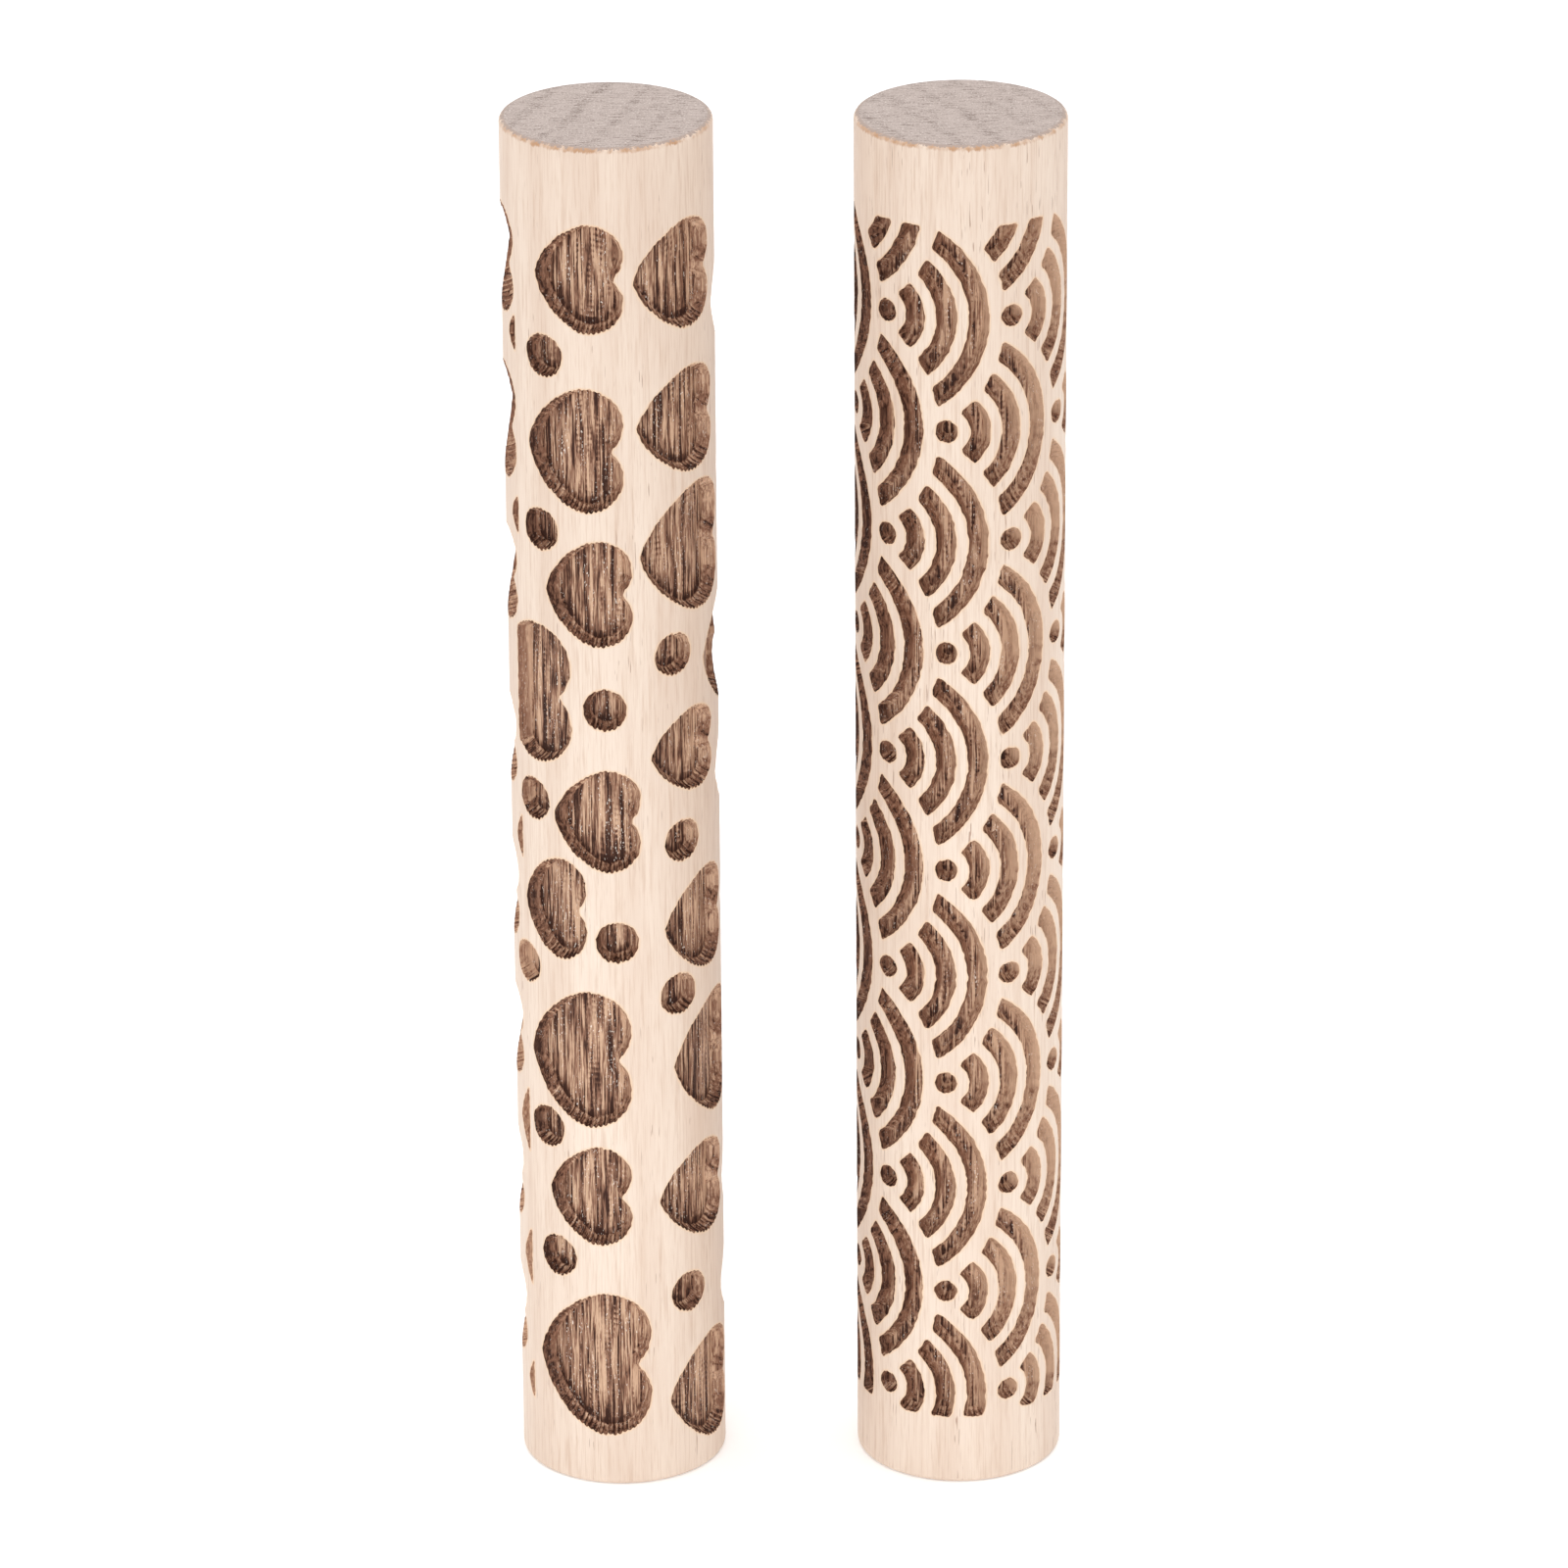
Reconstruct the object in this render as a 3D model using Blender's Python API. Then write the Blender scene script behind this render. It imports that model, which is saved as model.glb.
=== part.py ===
"""A pair of clay texture rollers, each turned and engraved from one solid piece of beech.

Each roller is a plain dowel with lightly rounded rims and flat sawn ends. A laser has cut its
pattern into the skin, so the pattern is sunk and leaves raised shapes in the clay: one roller
carries hearts and dots, the other the traditional pattern of overlapping waves. Neither has an
axle, a bore or a handle: a roller is pushed over the clay with the flat of the hand.

The pattern is drawn on the skin laid out flat, u round the rod and v along it: each cut by its
outline on the surface and by the smaller outline of its floor. The flat skin is then wound round
the axis with its floors sunk, its seam is joined, and its two ends are rounded and closed.
"""

import math

import bmesh
import bpy
from mathutils import Vector
from mathutils.geometry import delaunay_2d_cdt

MM = 0.001

# Both rods
ROD_DIAMETER = 22 * MM
ROD_LENGTH = 152 * MM
ROD_CLEARANCE = 14.4 * MM  # between the two rods as they stand side by side
RIM_ROUND = 0.6 * MM
ROD_SIDES = 36
RIM_STEPS = 2

# The laser's cut
ENGRAVING_DEPTH = 1.3 * MM
WALL_LEAN = 0.45 * MM  # how far a cut wall leans inwards on its way down
LONGEST_MITRE_SHARE = 2.5  # of the lean, at a floor's sharp corners
PLAIN_SPACING = 2.8 * MM  # along the rod, between rows of the skin's points off the outlines
OUTLINE_CLEARANCE = 1.3 * MM  # least gap between such a point and an outline
JOIN_DISTANCE = 0.001 * MM
SHARP_ANGLE = math.radians(35)
TRIANGLES_INSIDE = 1  # the triangulation's output: triangles inside the outermost outline

# Hearts lie on their sides, their points to the left. Shares are of the heart's own height,
# which runs along the rod.
HEART_HEIGHT = 11.5 * MM
HEART_LENGTH_SHARE = 0.8
LOBE_RADIUS_SHARE = 0.285
SIDE_TANGENT = math.radians(118)  # where a lobe's arc passes into the long side's arc
LOBE_STEPS = 5
SIDE_STEPS = 3
LEAST_CUT_SIDE = 0.7 * MM  # a heart's corners nearer to its cut than this are left out
DOT_DIAMETER = 4.6 * MM
DOT_STEPS = 8

# Hearts: turn of the point and of the lobes in degrees from the front, height of the middle as
# a share of the rod's length, and size as a share of a common heart's
HEART_SHARES = (
    (-42, 9, 0.907, 1.02),
    (-49, 8, 0.784, 1.18),
    (-38, 12, 0.680, 1.02),
    (-35, 15, 0.512, 1.0),
    (-59, -16, 0.443, 1.0),
    (-55, 8, 0.331, 1.36),
    (-42, 7, 0.226, 1.0),
    (-52, 17, 0.095, 1.46),
    (14, 69, 0.904, 1.02),
    (15, 72, 0.799, 1.0),
    (16, 80, 0.705, 1.23),
    (21, 68, 0.557, 0.81),
    (28, 80, 0.426, 1.0),
    (33, 92, 0.320, 1.21),
    (23, 76, 0.220, 0.94),
    (28, 84, 0.063, 1.1),
    (74, 124, 0.872, 1.0),
    (85, 132, 0.749, 0.95),
    (59, 110, 0.618, 1.1),
    (74, 121, 0.528, 0.95),
    (84, 129, 0.428, 0.95),
    (96, 128, 0.316, 0.67),
    (80, 128, 0.213, 1.0),
    (75, 111, 0.132, 0.75),
    (-112, -61, 0.905, 1.02),
    (-112, -61, 0.788, 1.1),
    (-112, -63, 0.676, 0.9),
    (-113, -68, 0.551, 0.86),
    (-114, -69, 0.438, 0.95),
    (-113, -66, 0.331, 0.9),
    (-115, -70, 0.219, 0.9),
    (-115, -69, 0.113, 0.9),
)
# Hearts that are cut off along the rod, on the left of the front: as above, then the side that is
# kept (1 is the right one) and the turn of the cut
CUT_HEART_SHARES = (
    (-87, -23, 0.601, 1.35, 1, -64),
    (-68, -42, 0.857, 0.5, -1, -60),
    (-68, -42, 0.725, 0.52, -1, -60),
    (-70, -14, 0.486, 0.97, -1, -62),
    (-71, 4, 0.270, 1.45, -1, -60),
    (-70, 0, 0.163, 1.3, -1, -60),
    (-67, -27, 0.066, 0.8, -1, -60),
)
# Columns of hearts at an even pitch on the back: turn of the points and of the lobes, height of
# the lowest heart and pitch as shares of the rod's length, and the number of hearts
BACK_COLUMN_SHARES = (
    (134, 178, 0.108, 0.112, 8),
    (184, 231, 0.164, 0.112, 7),
)
# Dots: turn in degrees and height as a share of the rod's length
DOT_SHARES = (
    (-37, 0.849),
    (-41, 0.722),
    (36, 0.631),
    (-4, 0.595),
    (-50, 0.520),
    (41, 0.491),
    (1, 0.421),
    (-59, 0.393),
    (37, 0.376),
    (-43.5, 0.273),
    (-37, 0.175),
    (42, 0.144),
)

# The waves open to the right in staggered columns. A wave is a dot and three bands round it.
WAVE_COLUMNS = 10
WAVE_TURN = 27.5  # of a dot in the lowest row, in degrees from the front
ROW_PITCH = 12.27 * MM  # from a row of dots to the staggered row above it
LOWER_MARGIN = 7.95 * MM  # plain wood below the waves
UPPER_MARGIN = 8.7 * MM
FIRST_ROW = 2.75 * MM  # the lowest dots above the margin
WAVE_DOT_RADIUS = 1.25 * MM
BAND_COUNT = 3
BAND_WIDTH = 2.1 * MM
BAND_GAP = 1.25 * MM
WAVE_RIM = 1.8 * MM  # plain wood outside the last band, where the next waves begin
BAND_STEPS = (3, 4, 5)
WAVE_DOT_STEPS = 6
LEAST_LEFTOVER = 1.6 * MM  # a cut band smaller than this is not engraved

ROD_RADIUS = ROD_DIAMETER / 2
CIRCUMFERENCE = math.tau * ROD_RADIUS
BEECH_COLOR = {
    "heart_roller": (0.86, 0.69, 0.56, 1),
    "wave_roller": (0.88, 0.72, 0.61, 1),
}
SCORCHED_COLOR = (0.31, 0.18, 0.12, 1)
WOOD_ROUGHNESS = 0.62


def arc(centre, radius, start, end, steps):
    """Points along an arc, both ends included."""
    turns = (start + (end - start) * step / steps for step in range(steps + 1))
    return [centre + radius * Vector((math.cos(turn), math.sin(turn))) for turn in turns]


def circle(centre, radius, steps):
    return arc(centre, radius, 0, math.tau, steps)[:-1]


def heart_outline(point, length, height):
    """A heart of two arcs a side: a round lobe, and a longer arc that runs on to the point."""
    lobe_radius = LOBE_RADIUS_SHARE * height
    lobe = Vector((HEART_LENGTH_SHARE * height - lobe_radius, height / 2 - lobe_radius))
    notch_turn = -math.asin(lobe.y / lobe_radius)
    away = Vector((math.cos(SIDE_TANGENT), math.sin(SIDE_TANGENT)))
    further = (lobe.length_squared - lobe_radius**2) / (2 * (lobe_radius + lobe.dot(away)))
    middle = lobe - away * further
    side = arc(lobe, lobe_radius, notch_turn, SIDE_TANGENT, LOBE_STEPS)
    point_turn = math.atan2(-middle.y, -middle.x)
    side += arc(middle, lobe_radius + further, SIDE_TANGENT, point_turn, SIDE_STEPS)[1:]
    stretch = length / (HEART_LENGTH_SHARE * height)
    upper = [Vector((stretch * p.x, p.y)) for p in side]
    lower = [Vector((p.x, -p.y)) for p in reversed(upper[1:-1])]
    return [point + p for p in upper + lower]


def around(degrees):
    """Where a turn from the front lies on the flat skin."""
    return math.radians(degrees) * ROD_RADIUS


def placed_heart(point_turn, lobe_turn, height_share, size_share):
    point = Vector((around(point_turn), height_share * ROD_LENGTH))
    length = around(lobe_turn) - around(point_turn)
    return heart_outline(point, length, size_share * HEART_HEIGHT)


def heart_outlines():
    places = list(HEART_SHARES)
    for point_turn, lobe_turn, lowest, pitch, count in BACK_COLUMN_SHARES:
        for row in range(count):
            places.append((point_turn, lobe_turn, lowest + row * pitch, 1))
    outlines = [placed_heart(*place) for place in places]
    for *place, side, cut_turn in CUT_HEART_SHARES:
        whole = placed_heart(*place)
        outlines.append(cut_at(whole, around(cut_turn), side, axis=0, clearance=LEAST_CUT_SIDE))
    for turn, height_share in DOT_SHARES:
        centre = Vector((around(turn), height_share * ROD_LENGTH))
        outlines.append(circle(centre, DOT_DIAMETER / 2, DOT_STEPS))
    return outlines


def reach(radius, column_pitch, clear_radius):
    """How far round its dot a wave's ring runs before it meets the wave beside it."""
    beside = Vector((-column_pitch, ROW_PITCH))
    apart = radius**2 + beside.length_squared - clear_radius**2
    share = apart / (2 * radius * beside.length)
    return math.atan2(beside.y, beside.x) - math.acos(max(-1, min(1, share)))


def band_outline(dot, inner, outer, column_pitch, clear_radius, steps):
    """One curved band. The waves above and below on its left cut its ends."""
    outer_reach = reach(outer, column_pitch, clear_radius)
    inner_reach = reach(inner, column_pitch, clear_radius)
    points = arc(dot, outer, -outer_reach, outer_reach, steps)
    return points + arc(dot, inner, inner_reach, -inner_reach, steps - 1)


def cut_at(points, level, keep, axis=1, clearance=0):
    """The part of an outline above a level on an axis (keep is 1) or below it (keep is -1),
    without the corners that lie nearer to the level than the clearance."""
    kept = []
    for here, after in zip(points, points[1:] + points[:1]):
        inside = keep * (here[axis] - level) >= 0
        if keep * (here[axis] - level) >= clearance:
            kept.append(here)
        if inside != (keep * (after[axis] - level) >= 0):
            kept.append(here.lerp(after, (level - here[axis]) / (after[axis] - here[axis])))
    return kept


def wave_outlines():
    column_pitch = CIRCUMFERENCE / WAVE_COLUMNS
    band_pitch = BAND_WIDTH + BAND_GAP
    first_inner = WAVE_DOT_RADIUS + BAND_GAP
    clear_radius = first_inner + BAND_COUNT * band_pitch - BAND_GAP + WAVE_RIM
    lower = LOWER_MARGIN
    upper = ROD_LENGTH - UPPER_MARGIN
    outlines = []
    row = 0
    while lower + FIRST_ROW + row * ROW_PITCH < upper + clear_radius:
        height = lower + FIRST_ROW + row * ROW_PITCH
        for column in range(row % 2, WAVE_COLUMNS, 2):
            dot = Vector((around(WAVE_TURN) + column * column_pitch, height))
            shapes = [circle(dot, WAVE_DOT_RADIUS, WAVE_DOT_STEPS)]
            for band, steps in zip(range(BAND_COUNT), BAND_STEPS):
                inner = first_inner + band * band_pitch
                outer = inner + BAND_WIDTH
                shapes.append(band_outline(dot, inner, outer, column_pitch, clear_radius, steps))
            for shape in shapes:
                whole = cut_at(cut_at(shape, lower, 1), upper, -1)
                if whole and extent(whole) > LEAST_LEFTOVER:
                    outlines.append(whole)
        row += 1
    return outlines


def extent(points):
    """An outline's height along the rod."""
    heights = [p.y for p in points]
    return max(heights) - min(heights)


def distance_to(point, outline):
    """From a point to the nearest side of an outline."""
    nearest = math.inf
    for a, b in zip(outline, outline[1:] + outline[:1]):
        side = b - a
        share = max(0, min(1, (point - a).dot(side) / side.length_squared))
        nearest = min(nearest, (a + side * share - point).length)
    return nearest


def is_clear(point, outlines):
    """Whether a point of the skin lies well away from every outline."""
    for outline in outlines:
        heights = [p.y for p in outline]
        if min(heights) - OUTLINE_CLEARANCE < point.y < max(heights) + OUTLINE_CLEARANCE:
            if distance_to(point, outline) < OUTLINE_CLEARANCE:
                return False
    return True


def floor_outline(outline):
    """The outline of a cut's floor: each side of the cut, moved inwards by the wall's lean."""
    moved = []
    for before, here, after in zip(outline[-1:] + outline[:-1], outline, outline[1:] + outline[:1]):
        arriving = (here - before).orthogonal().normalized()
        leaving = (after - here).orthogonal().normalized()
        inwards = (arriving + leaving).normalized()
        mitre = WALL_LEAN / max(inwards.dot(leaving), 1 / LONGEST_MITRE_SHARE)
        moved.append(here + mitre * inwards)
    return moved


def skin_points(outlines):
    """The flat skin's edge, and staggered points that keep it round between the outlines."""
    low = RIM_ROUND
    high = ROD_LENGTH - RIM_ROUND
    rows = max(1, round((high - low) / PLAIN_SPACING))
    side = CIRCUMFERENCE / ROD_SIDES
    across = [number * side - CIRCUMFERENCE / 2 for number in range(ROD_SIDES + 1)]
    points = []
    seam_heights = []
    for row in range(1, rows):
        height = low + (high - low) * row / rows
        is_staggered = row % 2
        places = [Vector((u + is_staggered * side / 2, height)) for u in across]
        if is_staggered:
            inner = places[:-1]
        else:
            inner = places[1:-1]
            if is_clear(places[0], outlines) and is_clear(places[-1], outlines):
                seam_heights.append(height)
        points += [place for place in inner if is_clear(place, outlines)]
    edge = [Vector((u, low)) for u in across]
    edge += [Vector((across[-1], v)) for v in seam_heights]
    edge += [Vector((u, high)) for u in reversed(across)]
    edge += [Vector((across[0], v)) for v in reversed(seam_heights)]
    return edge, points


def flat_skin(outlines):
    """The skin laid out flat: its points and its triangles, each with whether it belongs to a cut
    and whether it is part of a cut's floor."""
    half = CIRCUMFERENCE / 2
    cuts = []
    for outline in outlines:
        for shift in (-CIRCUMFERENCE, 0, CIRCUMFERENCE):
            copy = [p + Vector((shift, 0)) for p in outline]
            if max(p.x for p in copy) > -half and min(p.x for p in copy) < half:
                cuts.append(copy)
    edge, points = skin_points(cuts)
    floors = [floor_outline(cut) for cut in cuts]
    rings = []
    for ring in [edge] + cuts + floors:
        rings.append(list(range(len(points), len(points) + len(ring))))
        points += ring
    drawn = delaunay_2d_cdt(points, [], rings, TRIANGLES_INSIDE, JOIN_DISTANCE)
    found, _, triangles, _, _, sources = drawn
    skin = []
    for triangle, source in zip(triangles, sources):
        if 0 in source:
            is_cut = any(0 < ring <= len(cuts) for ring in source)
            skin.append((triangle, is_cut, is_cut and max(source) > len(cuts)))
    return found, skin


def wound(flat, radius):
    """A flat skin's point on the rod. The front of the rod faces -Y."""
    turn = flat.x / ROD_RADIUS
    return Vector((radius * math.sin(turn), -radius * math.cos(turn), flat.y))


def close_end(bm, edges, outwards):
    """Rounds the rim in steps from one open end of the skin, then closes it with a flat face."""
    for step in range(RIM_STEPS):
        start = math.pi / 2 * step / RIM_STEPS
        end = math.pi / 2 * (step + 1) / RIM_STEPS
        made = bmesh.ops.extrude_edge_only(bm, edges=edges)["geom"]
        edges = [item for item in made if isinstance(item, bmesh.types.BMEdge)]
        before = ROD_RADIUS - RIM_ROUND * (1 - math.cos(start))
        after = ROD_RADIUS - RIM_ROUND * (1 - math.cos(end))
        rise = RIM_ROUND * (math.sin(end) - math.sin(start))
        for vert in {vert for made_edge in edges for vert in made_edge.verts}:
            vert.co.x *= after / before
            vert.co.y *= after / before
            vert.co.z += outwards * rise
    bmesh.ops.edgenet_fill(bm, edges=edges)


def rod_mesh(name, outlines):
    """One rod, standing on its end with its axis on Z."""
    bm = bmesh.new()
    found, skin = flat_skin(outlines)
    sunk = {i for triangle, _, is_floor in skin if is_floor for i in triangle}
    radii = [ROD_RADIUS - ENGRAVING_DEPTH * (i in sunk) for i in range(len(found))]
    verts = [bm.verts.new(wound(flat, radius)) for flat, radius in zip(found, radii)]
    for triangle, is_cut, _ in skin:
        bm.faces.new([verts[i] for i in triangle]).material_index = int(is_cut)
    bmesh.ops.delete(bm, geom=[v for v in bm.verts if not v.link_faces], context="VERTS")
    bmesh.ops.remove_doubles(bm, verts=bm.verts, dist=JOIN_DISTANCE)
    rims = [edge for edge in bm.edges if edge.is_boundary]
    close_end(bm, [e for e in rims if e.verts[0].co.z < ROD_LENGTH / 2], -1)
    close_end(bm, [e for e in rims if e.verts[0].co.z > ROD_LENGTH / 2], 1)
    bmesh.ops.recalc_face_normals(bm, faces=bm.faces)
    for face in bm.faces:
        face.smooth = len(face.verts) < ROD_SIDES
    mesh = bpy.data.meshes.new(name)
    bm.to_mesh(mesh)
    bm.free()
    mesh.set_sharp_from_angle(angle=SHARP_ANGLE)
    return mesh


def wood(name, color):
    material = bpy.data.materials.new(name)
    material.use_nodes = True
    shader = material.node_tree.nodes["Principled BSDF"]
    shader.inputs["Base Color"].default_value = color
    shader.inputs["Roughness"].default_value = WOOD_ROUGHNESS
    shader.inputs["Metallic"].default_value = 0
    material.diffuse_color = color
    return material


def add_roller(name, outlines, side):
    """Stands one roller beside the middle, on its sawn end."""
    mesh = rod_mesh(name, outlines)
    mesh.materials.append(wood(name + "_beech", BEECH_COLOR[name]))
    mesh.materials.append(wood(name + "_scorched", SCORCHED_COLOR))
    roller = bpy.data.objects.new(name, mesh)
    roller.location.x = side * (ROD_DIAMETER + ROD_CLEARANCE) / 2
    bpy.context.scene.collection.objects.link(roller)
    print(name, len(outlines), "cuts,", len(mesh.polygons), "faces")


def main():
    for obj in list(bpy.data.objects):
        bpy.data.objects.remove(obj)
    add_roller("heart_roller", heart_outlines(), -1)
    add_roller("wave_roller", wave_outlines(), 1)


main()
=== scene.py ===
# %% [markdown]
# # A pair of beech texture rollers for clay
# Two plain beech rods stand on their sawn ends. A laser has burnt a pattern into each of them:
# hearts and dots in one, overlapping waves in the other. Rolled over clay, the burnt hollows leave
# raised shapes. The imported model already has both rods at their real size. This lesson gives them
# their looks: crisp burnt cuts, bare beech, sawn end grain.

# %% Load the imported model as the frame
import math

import bmesh
import bpy
import numpy as np
from mathutils import Matrix, Vector, kdtree, noise
from mathutils.geometry import delaunay_2d_cdt


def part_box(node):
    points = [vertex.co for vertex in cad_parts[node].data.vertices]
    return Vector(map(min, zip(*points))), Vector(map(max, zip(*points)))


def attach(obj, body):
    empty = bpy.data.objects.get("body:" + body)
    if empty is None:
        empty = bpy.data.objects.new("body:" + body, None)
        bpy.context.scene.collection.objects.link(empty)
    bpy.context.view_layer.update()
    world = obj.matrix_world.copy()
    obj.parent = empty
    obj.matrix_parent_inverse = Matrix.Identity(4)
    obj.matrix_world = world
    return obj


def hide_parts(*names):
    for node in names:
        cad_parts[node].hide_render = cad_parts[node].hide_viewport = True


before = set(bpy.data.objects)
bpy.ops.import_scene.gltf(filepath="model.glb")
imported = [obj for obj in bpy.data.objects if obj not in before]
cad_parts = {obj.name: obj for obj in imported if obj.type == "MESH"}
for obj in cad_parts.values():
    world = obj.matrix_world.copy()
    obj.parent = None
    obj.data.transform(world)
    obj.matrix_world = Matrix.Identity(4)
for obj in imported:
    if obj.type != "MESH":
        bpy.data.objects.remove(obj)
bpy.ops.object.select_all(action="DESELECT")
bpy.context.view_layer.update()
print("nodes:", ", ".join(sorted(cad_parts)))

# %% [markdown]
# ## Sizes
# Every size starts from the frame, so that the dressed rods stand exactly where the plain ones do.
# GIRTH is the way once round a rod: the width of its skin when it is laid out flat.

# %% Read the rods' sizes from the frame
MM = 0.001
hearts_low, hearts_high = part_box("heart_roller")
waves_low, waves_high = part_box("wave_roller")
ROD_RADIUS = (hearts_high.x - hearts_low.x) / 2
ROD_LENGTH = hearts_high.z - hearts_low.z
GIRTH = math.tau * ROD_RADIUS
HEARTS_AXIS = (hearts_low.x + hearts_high.x) / 2
WAVES_AXIS = (waves_low.x + waves_high.x) / 2
print("radius", round(ROD_RADIUS / MM, 2), "mm, length", round(ROD_LENGTH / MM, 2), "mm")

# %% [markdown]
# ## Camera
# A camera fitted to the outlines of both rods looks down at them from in front. Its focal length is
# long, so the rods taper little. The focal length in pixels becomes millimetres on the sensor.

# %% Set the camera
PHOTO_SIDE = 1600
FOCAL_PIXELS = 9000
CAMERA_PLACE = Vector((-0.37, -859.15, 440.44)) * MM
CAMERA_DIP = math.radians(22.907)
CAMERA_ROLL = math.radians(-0.379)
aim = Matrix.Rotation(math.pi / 2 - CAMERA_DIP, 3, "X") @ Matrix.Rotation(CAMERA_ROLL, 3, "Z")
bpy.ops.object.camera_add(location=CAMERA_PLACE, rotation=aim.to_euler())
camera = bpy.context.active_object
camera.data.lens = FOCAL_PIXELS / PHOTO_SIDE * camera.data.sensor_width
bpy.context.scene.camera = camera
print("lens", round(camera.data.lens, 1), "mm")

# %% [markdown]
# ## Studio
# White craft photographs are lit from everywhere: a pale floor, a white surrounding and wide soft
# lights. The floor glows a little, so that it stays white up to the rods. The light from above falls
# mostly on the floor, which throws it back, so the lower ends of the rods are the brightest.

# %% Lay the floor
FLOOR_SIDE = 12
FLOOR_WHITE = (0.93, 0.93, 0.93, 1)
FLOOR_ROUGHNESS = 0.8
FLOOR_GLOW = 0.16
PURE_WHITE = (1, 1, 1, 1)

bpy.ops.mesh.primitive_plane_add(size=FLOOR_SIDE)
floor = bpy.context.active_object
floor.name = "floor"
pale_floor = bpy.data.materials.new("pale_floor")
pale_floor.use_nodes = True
floor_shader = pale_floor.node_tree.nodes["Principled BSDF"]
floor_shader.inputs["Base Color"].default_value = FLOOR_WHITE
floor_shader.inputs["Roughness"].default_value = FLOOR_ROUGHNESS
floor_shader.inputs["Emission Color"].default_value = PURE_WHITE
floor_shader.inputs["Emission Strength"].default_value = FLOOR_GLOW
floor.data.materials.append(pale_floor)
print("the floor is laid")

# %% [markdown]
# A long low strip stands close in front of the rods. It adds the light that the white table throws
# up at their feet, and the camera doesn't see it. The standard view keeps white as white.

# %% Hang the lights
SURROUND_STRENGTH = 0.78
RODS_MIDDLE = (0, 0, ROD_LENGTH / 2)
OVERHEAD_PLACE, OVERHEAD_SIDE, OVERHEAD_POWER = (0, 0.1, 1.6), 1.6, 14
FRONT_PLACE, FRONT_SIDE, FRONT_POWER = (-0.5, -1.5, 0.9), 1.2, 3.6
RODS_FEET = (0, 0, 0.022)
STRIP_PLACE, STRIP_WIDTH, STRIP_POWER = (0, -0.12, 0.022), 0.4, 0.055
STRIP_HEIGHT = 0.03
STRIP_COLOR = (0.8, 0.93, 1)


def add_soft_light(name, place, target, side, power):
    """Adds a square light that faces its target, and returns it."""
    bpy.ops.object.light_add(type="AREA", location=place)
    light = bpy.context.active_object
    light.name = name
    light.data.size = side
    light.data.energy = power
    light.rotation_euler = (Vector(target) - Vector(place)).to_track_quat("-Z", "Y").to_euler()
    return light


surround = bpy.data.worlds.new("surround")
surround.use_nodes = True
surround.node_tree.nodes["Background"].inputs["Color"].default_value = PURE_WHITE
surround.node_tree.nodes["Background"].inputs["Strength"].default_value = SURROUND_STRENGTH
bpy.context.scene.world = surround
bpy.context.scene.view_settings.view_transform = "Standard"
add_soft_light("overhead", OVERHEAD_PLACE, RODS_MIDDLE, OVERHEAD_SIDE, OVERHEAD_POWER)
add_soft_light("front", FRONT_PLACE, RODS_MIDDLE, FRONT_SIDE, FRONT_POWER)
strip = add_soft_light("bounce", STRIP_PLACE, RODS_FEET, STRIP_WIDTH, STRIP_POWER)
strip.data.shape = "RECTANGLE"
strip.data.size_y = STRIP_HEIGHT
strip.data.color = STRIP_COLOR
strip.visible_camera = False
print("three lights hang in a white surround")

# %% [markdown]
# ## The laser's passes
# The rod turns under the laser one narrow pass at a time, and each pass burns a line along the
# grain. A cut is a row of such lines side by side. Where its edge runs across the grain, the round
# ends of the lines make a scalloped edge; where it runs along the grain, the edge is smooth. So the
# outlines below are drawn smooth, then cut into passes.

# %% Helpers for outlines on the flat skin
BEAM_REACH = 0.35 * MM
DRAWING_STEP = 0.05 * MM
LEAST_GAP_SHARE = 0.97  # of the distance that an outline is moved by


def arc(centre, radius, start, end):
    """Points along an arc on the flat skin, both ends included."""
    steps = max(2, round(abs(end - start) * radius / DRAWING_STEP))
    turns = np.linspace(start, end, steps + 1)
    return np.column_stack((np.cos(turns), np.sin(turns))) * radius + centre


def outward(outline):
    """The outward direction at each point of a counter-clockwise outline."""
    along = np.roll(outline, -1, axis=0) - np.roll(outline, 1, axis=0)
    along /= np.maximum(np.linalg.norm(along, axis=1, keepdims=True), 1e-12)
    return np.column_stack((along[:, 1], -along[:, 0]))


def softened(outline):
    """The outline as a beam of some width leaves it, with its corners rounded."""
    steps = round(BEAM_REACH / DRAWING_STEP)
    shifts = range(-steps, steps + 1)
    for _ in range(2):
        outline = sum(np.roll(outline, shift, axis=0) for shift in shifts) / len(shifts)
    return outline


def moved_by(outline, distance):
    """The outline moved outwards, or inwards by a distance below zero, without crossing itself."""
    moved = outline + distance * outward(outline)
    gaps = np.linalg.norm(moved[:, None] - outline[None, ::2], axis=2).min(axis=1)
    return moved[gaps > LEAST_GAP_SHARE * abs(distance)]


print("outlines are drawn in steps of", DRAWING_STEP / MM, "mm")

# %% [markdown]
# A pass is cut into quarters, so that its round end has a foot, a shoulder and a crown. Every
# outline gets a point wherever it crosses a quarter, and steeper stretches get one now and then.
# Passes end a little early or late, and the sides of a cut wander too. The lower edges, which the
# beam leaves last, have the longest teeth.

# %% Cut a smooth outline into passes
PASSES_ROUND = 130
PASS_PITCH = GIRTH / PASSES_ROUND
QUARTERS = 4
STEEP_STEP = 0.34 * MM
PASS_JITTER = 0.08 * MM
SIDE_JITTER = 0.17 * MM
LOWER_TEETH = 0.9
UPPER_TEETH = 0.5
MEAN_CROWN = 0.64  # a round end's mean height, so that the teeth leave a cut as large as it was


def pass_chance(number, kind):
    """A steady random number from -1 to 1 for one pass."""
    return noise.noise(Vector((number * 7.31, kind * 3.17, 0.5))) * 1.8


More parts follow.
